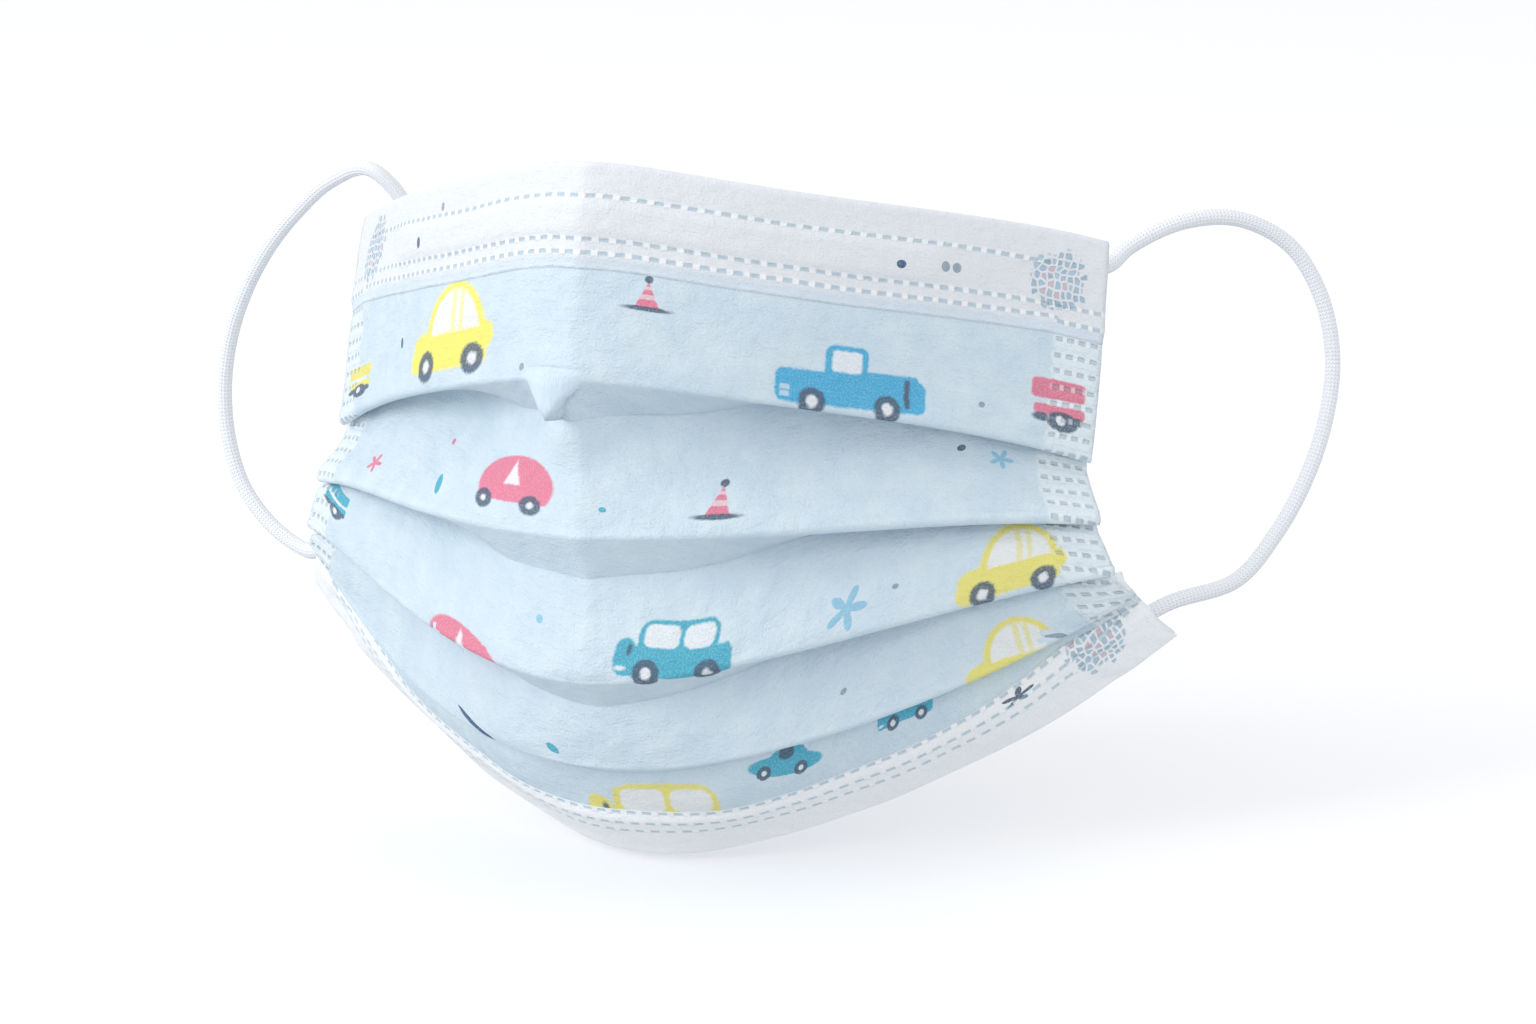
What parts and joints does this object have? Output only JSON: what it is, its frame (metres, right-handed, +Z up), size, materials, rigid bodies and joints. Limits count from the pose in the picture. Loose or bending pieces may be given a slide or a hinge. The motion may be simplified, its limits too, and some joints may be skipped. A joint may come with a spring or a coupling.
{
  "type": "surgical face mask",
  "caption": "Pleated cloth face mask opened as it is worn, with folded white hems, a nose wire under the top hem and round elastic ear loops.",
  "frame": {"origin": "middle of the top edge, where the mask sits on the bridge of the nose", "axes": "+X to the wearer's left as seen from the front on the picture's right, +Z up, the printed front faces -Y and the face goes in from +Y"},
  "size_m": [0.1902, 0.0926, 0.1131],
  "materials": {
    "printed_cloth": "matt light blue non-woven cloth with a small printed pattern",
    "white_cloth": "matt white non-woven cloth",
    "elastic": "knitted white elastic cord",
    "wire": "plain flat wire, hidden in the hem"
  },
  "bodies": {
    "root": {"mask_body": "printed_cloth", "top_hem": "white_cloth", "bottom_hem": "white_cloth", "nose_wire": "wire", "ear_loop_left": "elastic", "ear_loop_right": "elastic"}
  },
  "joints": []
}
